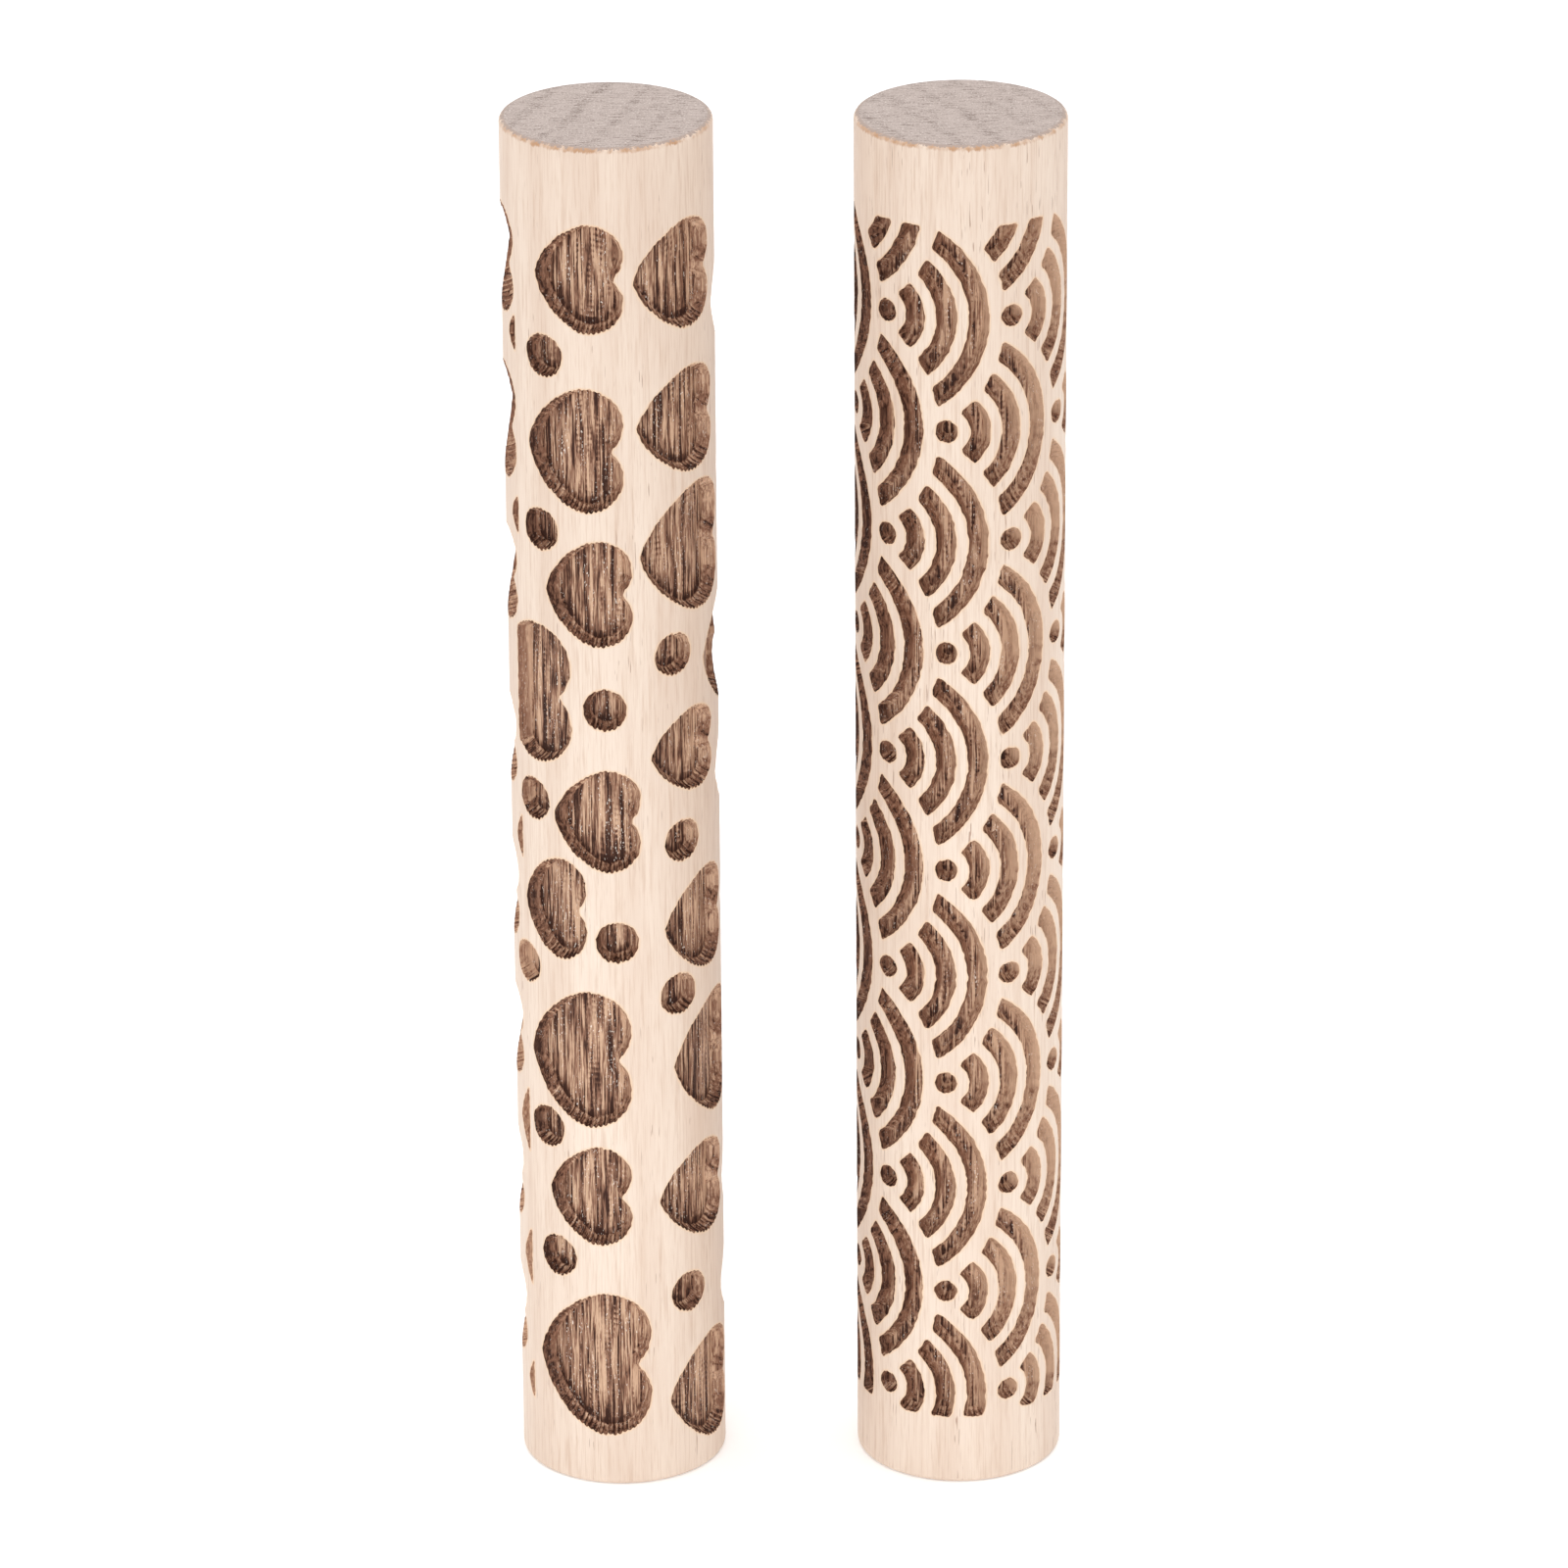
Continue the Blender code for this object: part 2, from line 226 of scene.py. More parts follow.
def side_chance(v, kind):
    """A steady random number for a place along a side of a cut."""
    return noise.noise(Vector((v / MM * 1.7, kind * 3.17, 7.7)))


def roughened(place, number, away, scallop, fray, kind):
    """One point of an outline, moved as the round end of its pass and the wandering beam do."""
    crown = abs(math.sin(math.pi * place[0] / PASS_PITCH)) - MEAN_CROWN
    teeth = 2 * scallop * crown * (LOWER_TEETH if away[1] < 0 else UPPER_TEETH)
    jitter = PASS_JITTER * pass_chance(number % PASSES_ROUND, kind + (away[1] > 0))
    sideways = away[0] * SIDE_JITTER * side_chance(place[1], kind) * fray
    return np.array((place[0] + sideways, place[1] + away[1] * (teeth + jitter * fray)))


def cut_into_passes(outline, scallop, fray, kind):
    """The outline with points on the quarters of the passes, its ends rounded pass by pass."""
    quarter = PASS_PITCH / QUARTERS
    points = []
    travelled = 0
    for here, there, away in zip(outline, np.roll(outline, -1, axis=0), outward(outline)):
        first, last = here[0] / quarter, there[0] / quarter
        travelled += math.hypot(*(there - here))
        if math.floor(first) != math.floor(last):
            crossed = math.floor(max(first, last))
            place = here + (crossed - first) / (last - first) * (there - here)
            number = crossed // QUARTERS
        elif travelled > STEEP_STEP:
            place = there
            number = math.floor(place[0] / PASS_PITCH)
        else:
            continue
        travelled = 0
        points.append(roughened(place, number, away, scallop, fray, kind))
    return np.array(points)


print(PASSES_ROUND, "passes of", round(PASS_PITCH / MM, 3), "mm")

# %% [markdown]
# ## Hearts and dots
# The hearts lie on their sides with their points to the left. The same sizes and places as in the
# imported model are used, so the burnt cuts fit the plain ones. Some hearts on the left of the front
# are cut off along the rod, where the laser's picture ended and began again.

# %% Where the hearts and dots lie
HEART_HEIGHT = 11.5 * MM
DOT_RADIUS = 2.3 * MM
# Turn of the point and of the lobes in degrees from the front, height of the middle as a share of
# the rod's length, and size as a share of a common heart's
HEART_SHARES = (
    (-42, 9, 0.907, 1.02),
    (-49, 8, 0.784, 1.18),
    (-38, 12, 0.680, 1.02),
    (-35, 15, 0.512, 1.0),
    (-59, -16, 0.443, 1.0),
    (-55, 8, 0.331, 1.36),
    (-42, 7, 0.226, 1.0),
    (-52, 17, 0.095, 1.46),
    (14, 69, 0.904, 1.02),
    (15, 72, 0.799, 1.0),
    (16, 80, 0.705, 1.23),
    (21, 68, 0.557, 0.81),
    (28, 80, 0.426, 1.0),
    (33, 92, 0.320, 1.21),
    (23, 76, 0.220, 0.94),
    (28, 84, 0.063, 1.1),
    (74, 124, 0.872, 1.0),
    (85, 132, 0.749, 0.95),
    (59, 110, 0.618, 1.1),
    (74, 121, 0.528, 0.95),
    (84, 129, 0.428, 0.95),
    (96, 128, 0.316, 0.67),
    (80, 128, 0.213, 1.0),
    (75, 111, 0.132, 0.75),
    (-112, -61, 0.905, 1.02),
    (-112, -61, 0.788, 1.1),
    (-112, -63, 0.676, 0.9),
    (-113, -68, 0.551, 0.86),
    (-114, -69, 0.438, 0.95),
    (-113, -66, 0.331, 0.9),
    (-115, -70, 0.219, 0.9),
    (-115, -69, 0.113, 0.9),
)
# Hearts that are cut off along the rod: as above, then the side that is kept (1 is the right one)
# and the turn of the cut
CUT_HEART_SHARES = (
    (-87, -23, 0.601, 1.35, 1, -64),
    (-68, -42, 0.857, 0.5, -1, -60),
    (-68, -42, 0.725, 0.52, -1, -60),
    (-70, -14, 0.486, 0.97, -1, -62),
    (-71, 4, 0.270, 1.45, -1, -60),
    (-70, 0, 0.163, 1.3, -1, -60),
    (-67, -27, 0.066, 0.8, -1, -60),
)
# Columns on the back: turn of the points and of the lobes, lowest height, pitch, number of hearts
BACK_COLUMN_SHARES = (
    (134, 178, 0.108, 0.112, 8),
    (184, 231, 0.164, 0.112, 7),
)
DOT_SHARES = (
    (-37, 0.849),
    (-41, 0.722),
    (36, 0.631),
    (-4, 0.595),
    (-50, 0.520),
    (41, 0.491),
    (1, 0.421),
    (-59, 0.393),
    (37, 0.376),
    (-43.5, 0.273),
    (-37, 0.175),
    (42, 0.144),
)
print("a common heart is", HEART_HEIGHT / MM, "mm high, a dot", 2 * DOT_RADIUS / MM, "mm across")

# %% [markdown]
# Each heart is two arcs a side, mirrored about its middle: a round lobe, and a longer arc that runs
# on to the point. Both arcs have the same tangent where they meet, so the side has no kink.

# %% Draw hearts and dots
HEART_LENGTH_SHARE = 0.8
LOBE_RADIUS_SHARE = 0.285
SIDE_TANGENT = math.radians(118)


def around(degrees):
    """Where a turn from the front lies on the flat skin."""
    return math.radians(degrees) * ROD_RADIUS


def heart_outline(point, length, height):
    """A heart on its side, from its point on the left to its lobes."""
    lobe_radius = LOBE_RADIUS_SHARE * height
    lobe = Vector((HEART_LENGTH_SHARE * height - lobe_radius, height / 2 - lobe_radius))
    away = Vector((math.cos(SIDE_TANGENT), math.sin(SIDE_TANGENT)))
    further = (lobe.length_squared - lobe_radius**2) / (2 * (lobe_radius + lobe.dot(away)))
    middle = lobe - away * further
    round_part = arc(lobe, lobe_radius, -math.asin(lobe.y / lobe_radius), SIDE_TANGENT)
    point_turn = math.atan2(-middle.y, -middle.x)
    long_part = arc(middle, lobe_radius + further, SIDE_TANGENT, point_turn)
    upper = np.vstack((round_part, long_part[1:]))
    upper[:, 0] *= length / (HEART_LENGTH_SHARE * height)
    lower = upper[-2:0:-1] * (1, -1)
    return np.vstack((upper, lower)) + point


def dot_outline(centre, radius):
    return arc(centre, radius, 0, math.tau)[:-1]


def evenly_drawn(outline):
    """The same outline, with points added along its long straight sides."""
    points = []
    for here, after in zip(outline, np.roll(outline, -1, axis=0)):
        steps = max(1, round(math.hypot(*(after - here)) / DRAWING_STEP))
        points += [here + (after - here) * step / steps for step in range(steps)]
    return np.array(points)


def trimmed(outline, level, keep, axis=1):
    """The part of an outline above a level on an axis (keep is 1), or below it (keep is -1)."""
    if (keep * (outline[:, axis] - level) >= 0).all():
        return outline
    kept = []
    for here, after in zip(outline, np.roll(outline, -1, axis=0)):
        inside = keep * (here[axis] - level) >= 0
        if inside:
            kept.append(here)
        if inside != (keep * (after[axis] - level) >= 0):
            share = (level - here[axis]) / (after[axis] - here[axis])
            kept.append(here + (after - here) * share)
    return evenly_drawn(np.array(kept)) if kept else np.empty((0, 2))


def placed_heart(point_turn, lobe_turn, height_share, size_share):
    point = (around(point_turn), height_share * ROD_LENGTH)
    length = around(lobe_turn) - around(point_turn)
    return heart_outline(point, length, size_share * HEART_HEIGHT)


def heart_cuts():
    places = list(HEART_SHARES)
    for point_turn, lobe_turn, lowest, pitch, count in BACK_COLUMN_SHARES:
        places += [(point_turn, lobe_turn, lowest + row * pitch, 1) for row in range(count)]
    cuts = [softened(evenly_drawn(placed_heart(*place))) for place in places]
    for *place, side, cut_turn in CUT_HEART_SHARES:
        cuts.append(softened(trimmed(placed_heart(*place), around(cut_turn), side, axis=0)))
    for turn, height_share in DOT_SHARES:
        cuts.append(dot_outline((around(turn), height_share * ROD_LENGTH), DOT_RADIUS))
    return cuts


hearts = heart_cuts()
print(len(hearts), "hearts and dots")

# %% [markdown]
# ## Waves
# The wave pattern is an old one: rows of half rings, each row standing in the gaps of the row
# beside it. A wave here is a dot with three bands round it, opening to the right. The waves above
# and below on its left cut its ends, so each band runs only as far as their outer ring. What is
# left over at the top and bottom limits is trimmed straight across.

# %% The sizes of the waves
WAVE_COLUMNS = 10
WAVE_TURN = 27.5  # of a dot in the lowest row, in degrees from the front
ROW_PITCH = 12.27 * MM
LOWER_MARGIN = 7.95 * MM
UPPER_MARGIN = 8.7 * MM
FIRST_ROW = 2.75 * MM
WAVE_DOT_RADIUS = 1.25 * MM
BAND_COUNT = 3
BAND_WIDTH = 2.1 * MM
BAND_GAP = 1.25 * MM
WAVE_RIM = 1.8 * MM
LEAST_LEFTOVER = 1.6 * MM
COLUMN_PITCH = GIRTH / WAVE_COLUMNS
FIRST_INNER = WAVE_DOT_RADIUS + BAND_GAP
CLEAR_RADIUS = FIRST_INNER + BAND_COUNT * (BAND_WIDTH + BAND_GAP) - BAND_GAP + WAVE_RIM
print("columns of waves are", round(COLUMN_PITCH / MM, 2), "mm apart")


# %% Draw the waves
def reach(radius):
    """How far round its dot a ring runs before it meets the wave beside it."""
    beside = Vector((-COLUMN_PITCH, ROW_PITCH))
    apart = radius**2 + beside.length_squared - CLEAR_RADIUS**2
    share = apart / (2 * radius * beside.length)
    return math.atan2(beside.y, beside.x) - math.acos(max(-1, min(1, share)))


def wave_end(dot, inner, outer, side):
    """The short end of a band, along the outer ring of the wave beside it."""
    beside = Vector(dot) + Vector((-COLUMN_PITCH, side * ROW_PITCH))
    corners = []
    for radius in (outer, inner):
        turn = side * reach(radius)
        corner = Vector(dot) + radius * Vector((math.cos(turn), math.sin(turn)))
        corners.append((corner - beside).to_2d())
    start, end = (math.atan2(corner.y, corner.x) for corner in corners)
    return arc(beside, CLEAR_RADIUS, start, end)


def band_outline(dot, inner, outer):
    """One band: its outer curve upwards, its upper end, its inner curve down, its lower end."""
    outer_curve = arc(dot, outer, -reach(outer), reach(outer))
    inner_curve = arc(dot, inner, reach(inner), -reach(inner))
    upper_end = wave_end(dot, inner, outer, 1)
    lower_end = wave_end(dot, inner, outer, -1)[::-1]
    return np.vstack((outer_curve[:-1], upper_end[:-1], inner_curve[:-1], lower_end[:-1]))


def wave_shapes(dot):
    """A wave's dot and its bands."""
    shapes = [dot_outline(dot, WAVE_DOT_RADIUS)]
    for band in range(BAND_COUNT):
        inner = FIRST_INNER + band * (BAND_WIDTH + BAND_GAP)
        shapes.append(band_outline(dot, inner, inner + BAND_WIDTH))
    return shapes


def wave_cuts():
    lower = LOWER_MARGIN
    upper = ROD_LENGTH - UPPER_MARGIN
    cuts = []
    for row in range(math.ceil((upper + CLEAR_RADIUS - lower - FIRST_ROW) / ROW_PITCH)):
        height = lower + FIRST_ROW + row * ROW_PITCH
        for column in range(row % 2, WAVE_COLUMNS, 2):
            for shape in wave_shapes((around(WAVE_TURN) + column * COLUMN_PITCH, height)):
                shape = trimmed(trimmed(shape, lower, 1), upper, -1)
                if len(shape) and np.ptp(shape[:, 1]) > LEAST_LEFTOVER:
                    cuts.append(softened(evenly_drawn(shape)))
    return cuts


waves = wave_cuts()
print(len(waves), "wave bands and dots")

# %% [markdown]
# ## The burnt walls
# A cut has four lines on the flat skin: a ring of heat just outside it, its scalloped edge, the
# middle of its wall and the foot of its wall. The upper edge of the left and lower walls is the
# darkest, with dark teeth down the lower one, partly from soot and partly as painted shade; the right
# and upper walls are only toasted.

# %% How dark a wall is
ENGRAVING_DEPTH = 1.3 * MM
WALL_LEAN = 0.5 * MM
WALL_SHARES = ((0.0, 0.0), (0.42, 0.62), (1.0, 1.0))  # of the lean and of the depth
EDGE_BURN = 0.14
# Left and lower walls are darkened at the edge by soot and by painted shade.
EDGE_SOOT_AND_SHADE = 0.76
FOOT_BURN = 0.26
# Their feet are a little darker too, from soot and painted shade.
FOOT_SOOT_AND_SHADE = 0.08
EDGE_TO_FOOT = 1.3  # above 1 the darkness of the edge reaches further down
TEETH_BURN = 0.28


def between_passes(u):
    """1 between two passes and -1 in the middle of one."""
    return math.cos(math.tau * u / PASS_PITCH)


def soot_and_shade_side(away):
    """1 on a wall that is left or below, 0 on one that is right or above: the share of soot and painted
    shade.
    """
    return max(0, -away[0], -away[1])


def wall_burn(place, away, share):
    """How dark a wall is, from 0 to 1, by the way out of the cut and how deep the point lies."""
    edge = EDGE_BURN + EDGE_SOOT_AND_SHADE * soot_and_shade_side(away)
    foot = FOOT_BURN + FOOT_SOOT_AND_SHADE * soot_and_shade_side(away)
    teeth = TEETH_BURN * max(0, -away[1]) * between_passes(place[0])
    return edge + (foot - edge) * share**EDGE_TO_FOOT + teeth * (0.6 + 0.8 * share)


print("cuts are", ENGRAVING_DEPTH / MM, "mm deep")

# %% [markdown]
# ## The burnt floors
# A floor has a groove in the middle of every pass and a ridge between two. Soot and painted shade
# gather at the foot of the left and lower walls and thin out over the floor, and beside the right
# walls the floor is painted lighter. Every pass also burns the grain that it meets a little
# differently, and the floor wanders up and down with it.

# %% Points of a floor
RIDGE = 0.012 * MM
FLOOR_WANDER = 0.09 * MM
FLOOR_STEP = 0.62 * MM
FLOOR_CLEARANCE = 0.13 * MM
FLOOR_BURN = 0.46
BURN_OF_PASS = 0.76
BURN_OF_PLACE = 0.2
# Soot and painted shade on the floor by the left and lower walls, painted light by the right walls.
SOOT_AND_SHADE_REACH = 0.9 * MM
LEFT_SOOT_AND_SHADE = 0.25
LOWER_SOOT_AND_SHADE = 0.34
LOWER_TEETH_SOOT_AND_SHADE = 0.3
RIGHT_PAINTED_LIGHT = 0.15


def floor_state(number, u, v):
    """The depth and the burn of a floor point, by its place and its half pass."""
    turn = u / ROD_RADIUS
    place = Vector((math.cos(turn) * 9, math.sin(turn) * 9, v / MM * 0.16))
    own = noise.noise(Vector((number % (2 * PASSES_ROUND) * 5.7, v / MM * 0.22, 3)))
    wander = noise.noise(place) + 0.7 * own
    depth = ENGRAVING_DEPTH + FLOOR_WANDER * wander - RIDGE * (number % 2 == 0)
    return depth, FLOOR_BURN + BURN_OF_PASS * own + BURN_OF_PLACE * noise.noise(place * 1.9)


def fading(gap):
    """1 at a wall, less and less away from it."""
    return math.exp(-gap / SOOT_AND_SHADE_REACH)


def gap_before(level, crossings):
    """How far a level lies above the nearest of some crossings below it."""
    below = crossings[crossings <= level]
    return level - below.max() if len(below) else 0


def floor_soot_and_shade(u, v, low, sides):
    """How much soot and painted shade there is at a floor point, less the painted light beside the right
    walls, by its way to the walls.
    """
    soot_and_shade = LEFT_SOOT_AND_SHADE * fading(gap_before(u, sides))
    soot_and_shade += (LOWER_SOOT_AND_SHADE + LOWER_TEETH_SOOT_AND_SHADE * between_passes(u)) * fading(v - low)
    return soot_and_shade - RIGHT_PAINTED_LIGHT * fading(gap_before(-u, -sides))


def crossings_at(outline, level, axis):
    """Where an outline crosses a level on one axis, as places on the other axis."""
    after = np.roll(outline, -1, axis=0)
    crosses = (outline[:, axis] <= level) != (after[:, axis] <= level)
    here, there = outline[crosses], after[crosses]
    share = (level - here[:, axis]) / (there[:, axis] - here[:, axis])
    other = 1 - axis
    return np.sort(here[:, other] + share * (there[:, other] - here[:, other]))


def stepped(low, high, staggered):
    """Heights from low to high in even steps, half a step higher where they are staggered."""
    if high <= low:
        return []
    count = max(1, round((high - low) / FLOOR_STEP))
    shifts = [0.5 * staggered if 0 < step < count else 0 for step in range(count + 1)]
    heights = [low + (high - low) * (step + shift) / count for step, shift in enumerate(shifts)]
    return [height for height in heights if height <= high]


def floor_points(foot, lighter):
    """The grooves and ridges of the passes between a floor's edges: place, depth, and burn with soot and
    painted shade.
    """
    half_pass = PASS_PITCH / 2
    first = math.ceil(foot[:, 0].min() / half_pass)
    last = math.floor(foot[:, 0].max() / half_pass)
    found = []
    for number in range(first, last + 1):
        u = number * half_pass
        heights = crossings_at(foot, u, 0)
        for low, high in zip(heights[::2], heights[1::2]):
            low, high = low + FLOOR_CLEARANCE, high - FLOOR_CLEARANCE
            for v in stepped(low, high, number % 2):
                depth, burn = floor_state(number, u, v)
                soot_and_shade = floor_soot_and_shade(u, v, low, crossings_at(foot, v, 1))
                found.append((u, v, depth, burn + soot_and_shade - lighter(u, v)))
    return found


print("soot reaches", SOOT_AND_SHADE_REACH / MM, "mm over the floors")

# %% [markdown]
# ## Laying out the flat skin
# The skin is drawn flat, as rings of points: first its border, then the rings of each cut. Each
# point knows its depth, how dark it is from burning, soot and painted shade, how evenly toasted it
# is, and whether it lies on a wall that runs across the grain. The materials read the last three.

# %% Rings of points on the flat skin
HALO_WIDTH = 0.3 * MM
HALO_STEP = 0.4 * MM
LEAST_TOAST = 0.45  # on the walls that stay light


class Artwork:
    """Points of the flat skin with what is known of each, and the rings drawn through them."""

    def __init__(self):
        self.places = []
        self.states = []
        self.rings = []

    def add(self, u, v, depth, burn, toast=0, crossing=0):
        """toast is 1 on an evenly toasted wall, crossing is 1 where a wall runs across the grain."""
        self.places.append((u, v))
        self.states.append((depth, burn, toast, crossing))

    def add_ring(self, points, depth, burns, wall):
        """wall is 1 for a ring on the wall of a cut, 0 for one on bare wood."""
        start = len(self.places)
        for (u, v), burn, away in zip(points, burns, outward(np.array(points))):
            even = LEAST_TOAST + (1 - LEAST_TOAST) * soot_and_shade_side(away) if depth else 1
            self.add(u, v, depth, burn, wall * even, wall * abs(away[1]))
        self.rings.append(list(range(start, len(self.places))))


def thinned(ring, step):
    """Every so many points of a densely drawn ring."""
    return ring[:: max(1, round(step / DRAWING_STEP))]


def near_seam_too(cuts):
    """Each cut with its number, and again a turn further where it reaches over the seam."""
    copies = []
    limit = GIRTH / 2 + HALO_WIDTH
    for number, cut in enumerate(cuts):
        for turn in (-1, 0, 1):
            copy = cut + (turn * GIRTH, 0)
            if copy[:, 0].max() > -limit and copy[:, 0].min() < limit:
                copies.append((number, copy))
    return copies


def add_cut_rings(art, cuts, scallop, lighter):
    """Rings of heat first, then the edges, walls and feet, so that later rings lie deeper."""
    copies = near_seam_too(cuts)
    for _, cut in copies:
        halo = thinned(moved_by(cut, HALO_WIDTH), HALO_STEP)
        art.add_ring(halo, 0, [0] * len(halo), 0)
    first_edge = len(art.rings)
    for wall_share, depth_share in WALL_SHARES:
        for number, cut in copies:
            line = moved_by(cut, -WALL_LEAN * wall_share) if wall_share else cut
            ring = cut_into_passes(line, scallop * (1 - 0.3 * wall_share), 1 - 0.6 * wall_share, number)
            burns = [
                wall_burn(place, away, wall_share) - lighter(*place)
                for place, away in zip(ring, outward(ring))
            ]
            art.add_ring(ring, ENGRAVING_DEPTH * depth_share, burns, 1)
            if wall_share == 1:
                for point in floor_points(ring, lighter):
                    art.add(*point)
    return first_edge


print("a ring of heat is", HALO_WIDTH / MM, "mm wide")

# %% [markdown]
# Between the cuts, points of bare wood keep the skin round. The column of hearts on the left is
# only toasted, and the waves get lighter from left to right round the rod, the hearts a little too.

# %% Bare wood and lighter cuts
RIM_ROUND = 0.55 * MM
LAND_STEP = 1.15 * MM
LAND_CLEARANCE = 0.52 * MM
TOASTED_COLUMN = (-120, -59)  # degrees from the front
COLUMN_LIGHTER = 0.25
COLUMN_FOOT_LIGHTER = 0.45
COLUMN_FOOT_REACH = 0.8 * ROD_LENGTH
HEARTS_DARKER = 0.05
HEARTS_TURN = 0.04
WAVES_LIGHTER = 0.12
WAVES_TURN = 0.12


def add_land(art):
    """Points of bare wood in staggered rows, clear of the cuts, to keep the skin round."""
    near = kdtree.KDTree(len(art.places))
    for index, (u, v) in enumerate(art.places):
        near.insert((u, v, 0), index)
    near.balance()
    columns = round(GIRTH / LAND_STEP)
    rows = round((ROD_LENGTH - 2 * RIM_ROUND) / LAND_STEP)
    for row in range(1, rows):
        v = RIM_ROUND + (ROD_LENGTH - 2 * RIM_ROUND) * row / rows
        for column in range(1, columns):
            u = (column + 0.5 * (row % 2)) * GIRTH / columns - GIRTH / 2
            if u < GIRTH / 2 - LAND_STEP / 4 and near.find((u, v, 0))[2] > LAND_CLEARANCE:
                art.add(u, v, 0, 0)


def lighter_hearts(u, v):
    """How much lighter than usual the hearts are, most of all at the foot of the column, and elsewhere a
    little more towards the right of the rod.
    """
    first, last = TOASTED_COLUMN
    if first < math.degrees(u / ROD_RADIUS) < last:
        return COLUMN_LIGHTER + COLUMN_FOOT_LIGHTER * max(0, 1 - v / COLUMN_FOOT_REACH)
    return HEARTS_TURN * math.sin(u / ROD_RADIUS) - HEARTS_DARKER


def lighter_waves(u, v):
    """How much lighter than usual the waves are, most of all on the right side of the rod."""
    return WAVES_LIGHTER + WAVES_TURN * math.sin(u / ROD_RADIUS)


print("bare wood gets a point every", LAND_STEP / MM, "mm")

# %% [markdown]
# All these lines and points go into one triangulation. It tells which of its triangles lie inside a
# cut. The plate it gives stands upright: across it runs the way round the rod, up it runs the
# length, and into it goes the depth.

# %% Build the engraved plates
HEART_SCALLOP = 0.13 * MM
WAVE_SCALLOP = 0.04 * MM
MERGE_DISTANCE = 0.001 * MM
STEPS_ROUND = 72
STEPS_UP = 129
MET_STATE = (0, 0.5, 0.5, 0)  # of a new point where two lines meet


def border_points():
    """The border of the flat skin, counter-clockwise, without the rounded rims of the rod."""
    half = GIRTH / 2
    low, high = RIM_ROUND, ROD_LENGTH - RIM_ROUND
    across = np.linspace(-half, half, STEPS_ROUND + 1)
    upwards = np.linspace(low, high, STEPS_UP + 1)
    border = [(u, low) for u in across] + [(half, v) for v in upwards[1:-1]]
    return border + [(u, high) for u in across[::-1]] + [(-half, v) for v in upwards[-2:0:-1]]


def engraved_plate(name, cuts, scallop, lighter):
    """A flat plate with the cuts sunk into it, as a mesh object."""
    art = Artwork()
    border = border_points()
    art.add_ring(border, 0, [0] * len(border), 0)
    first_edge = add_cut_rings(art, cuts, scallop, lighter)
    add_land(art)
    drawn = delaunay_2d_cdt([Vector(place) for place in art.places], [], art.rings, 1, MERGE_DISTANCE)
    places, _, triangles, origins, _, sources = drawn
    met = [[art.states[index] for index in origin] for origin in origins]
    states = [max(found, key=lambda state: state[0], default=MET_STATE) for found in met]
    depths, burns, toasts, crossings = zip(*states)
    kept = [number for number, source in enumerate(sources) if 0 in source]
    points = [(u, depth, v) for (u, v), depth in zip(places, depths)]
    mesh = bpy.data.meshes.new(name)
    mesh.from_pydata(points, [], [triangles[number] for number in kept])
    is_cut = [max(sources[number]) >= first_edge for number in kept]
    mesh.polygons.foreach_set("material_index", np.array(is_cut, np.int32))
    for attribute_name, values in (("burn", burns), ("toast", toasts), ("crossing", crossings)):
        attribute = mesh.attributes.new(attribute_name, "FLOAT", "POINT")
        attribute.data.foreach_set("value", np.array(values, np.float32))
    plate = bpy.data.objects.new(name, mesh)
    bpy.context.scene.collection.objects.link(plate)
    print(name, "plate:", len(mesh.polygons), "triangles")
    return plate


heart_rod = engraved_plate("heart_rod", hearts, HEART_SCALLOP, lighter_hearts)
wave_rod = engraved_plate("wave_rod", waves, WAVE_SCALLOP, lighter_waves)

# %% [markdown]
# ## From plate to rod
# A Simple Deform modifier bends the plate through a full turn, which makes a tube of exactly the
# rod's radius with its front facing the camera. The seam at the back is merged.

# %% Wind the plates
SEAM_DISTANCE = 5 * MERGE_DISTANCE


def take_up(obj):
    """Makes obj the only selected and active object."""
    bpy.ops.object.select_all(action="DESELECT")
    obj.select_set(True)
    bpy.context.view_layer.objects.active = obj


def wind(plate, axis_x):
    """Bends a plate into a tube round its rod's axis and joins the seam."""
    take_up(plate)
    bpy.ops.object.mode_set(mode="EDIT")
    bpy.ops.mesh.select_all(action="SELECT")
    bpy.ops.mesh.delete_loose()
    bpy.ops.object.mode_set(mode="OBJECT")
    bend = plate.modifiers.new("wind", "SIMPLE_DEFORM")
    bend.deform_method = "BEND"
    bend.deform_axis = "Z"
    bend.angle = math.tau
    bpy.ops.object.modifier_apply(modifier=bend.name)
    plate.location = (axis_x, -ROD_RADIUS, 0)
    bpy.ops.object.transform_apply(location=True)
    bpy.ops.object.mode_set(mode="EDIT")
    bpy.ops.mesh.select_all(action="SELECT")
    bpy.ops.mesh.remove_doubles(threshold=SEAM_DISTANCE)
    bpy.ops.object.mode_set(mode="OBJECT")


print("the seam closes over gaps up to", round(SEAM_DISTANCE / MM, 3), "mm")

# %% [markdown]
# Each open end is extruded in small steps to round its rim, and closed with a face, as one would by
# hand. Two insets on that face keep its long triangles away from the rim.

# %% Close the ends
RIM_STEPS = 4
END_INSET = 2.5 * MM
END_SLOT = 2


def select_open_edge(obj, upper):
    """Selects the edges round the open upper or lower end, in edit mode."""
    bpy.ops.mesh.select_mode(type="EDGE")
    bpy.ops.mesh.select_all(action="DESELECT")
    bm = bmesh.from_edit_mesh(obj.data)
    end = ROD_LENGTH - RIM_ROUND if upper else RIM_ROUND
    for edge in bm.edges:
        at_end = max(abs(vert.co.z - end) for vert in edge.verts) < 0.01 * MM
        edge.select_set(edge.is_boundary and at_end)
    bmesh.update_edit_mesh(obj.data)


